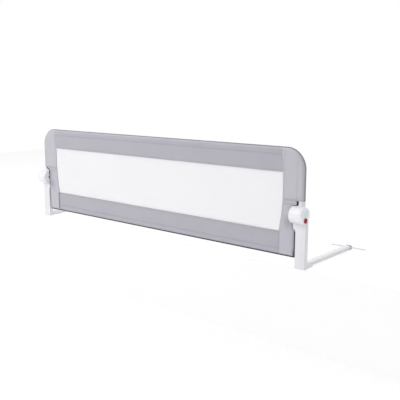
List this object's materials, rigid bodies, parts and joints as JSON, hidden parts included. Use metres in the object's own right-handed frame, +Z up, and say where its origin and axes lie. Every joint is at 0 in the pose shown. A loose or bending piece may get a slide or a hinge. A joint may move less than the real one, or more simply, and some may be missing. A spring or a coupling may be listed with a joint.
{
  "type": "bed guard rail",
  "caption": "Long folding bed guard rail with a fabric cover and mesh window, round hinge posts with push-button locks and arms that go under the mattress.",
  "frame": {"origin": "middle of the footprint on the surface that the feet and the arms stand on", "axes": "+X along the rail towards the end that is nearer in the picture, +Y from the room side towards the mattress, +Z up"},
  "size_m": [1.623, 0.406, 0.434],
  "materials": {
    "white_plastic": "satin",
    "pale_plastic": "semi gloss",
    "grey_plastic": "matte",
    "red_plastic": "semi gloss",
    "white_paint": "powder coat",
    "zinc_steel": "zinc plated",
    "grey_cloth": "woven polyester",
    "white_mesh": "fine net",
    "dark_piping": "corded edge"
  },
  "bodies": {
    "base": {"lower_cross_tube": "white_paint", "lower_cover": "grey_cloth", "lower_mesh": "white_mesh", "lower_piping": "dark_piping", "side_tube_right": "white_paint", "elbow_right": "grey_plastic", "post_right": "white_plastic", "hinge_bolt_right": "zinc_steel", "hinge_nut_right": "zinc_steel", "button_spring_right": "zinc_steel", "end_cap_right": "pale_plastic", "foot_right": "white_plastic", "foot_screw_right": "zinc_steel", "arm_right": "white_paint", "arm_plug_right": "grey_plastic", "cross_bar_right": "white_paint", "snap_spring_right": "zinc_steel", "side_tube_left": "white_paint", "elbow_left": "grey_plastic", "post_left": "white_plastic", "hinge_bolt_left": "zinc_steel", "hinge_nut_left": "zinc_steel", "button_spring_left": "zinc_steel", "end_cap_left": "pale_plastic", "foot_left": "white_plastic", "foot_screw_left": "zinc_steel", "arm_left": "white_paint", "arm_plug_left": "grey_plastic", "cross_bar_left": "white_paint", "snap_spring_left": "zinc_steel"},
    "upper_frame": {"upper_cross_tube": "white_paint", "corner_tube_right": "white_paint", "corner_tube_left": "white_paint", "rotor_right": "white_plastic", "rotor_left": "white_plastic", "socket_screw_right": "zinc_steel", "socket_screw_left": "zinc_steel", "upper_cover": "grey_cloth", "upper_mesh": "white_mesh", "upper_piping": "dark_piping"},
    "button_right": {"button_right": "red_plastic", "lock_pin_right": "zinc_steel"},
    "snap_right": {"snap_button_right": "zinc_steel"},
    "button_left": {"button_left": "red_plastic", "lock_pin_left": "zinc_steel"},
    "snap_left": {"snap_button_left": "zinc_steel"}
  },
  "joints": [
    {"name": "fold", "type": "hinge", "parent": "base", "child": "upper_frame", "pos_m": [0, -0.172, 0.197], "axis": [1, 0, 0], "range_deg": [0, 180]},
    {"name": "press_button_right", "type": "slide", "parent": "base", "child": "button_right", "axis": [-1, 0, 0], "range_m": [0, 0.004], "stiffness_N_per_m": 600, "deforming": ["button_spring_right"]},
    {"name": "press_snap_right", "type": "slide", "parent": "base", "child": "snap_right", "axis": [0, 0, -1], "range_m": [0, 0.0042], "stiffness_N_per_m": 600, "deforming": ["snap_spring_right"]},
    {"name": "press_button_left", "type": "slide", "parent": "base", "child": "button_left", "axis": [1, 0, 0], "range_m": [0, 0.004], "stiffness_N_per_m": 600, "deforming": ["button_spring_left"]},
    {"name": "press_snap_left", "type": "slide", "parent": "base", "child": "snap_left", "axis": [0, 0, -1], "range_m": [0, 0.0042], "stiffness_N_per_m": 600, "deforming": ["snap_spring_left"]}
  ]
}
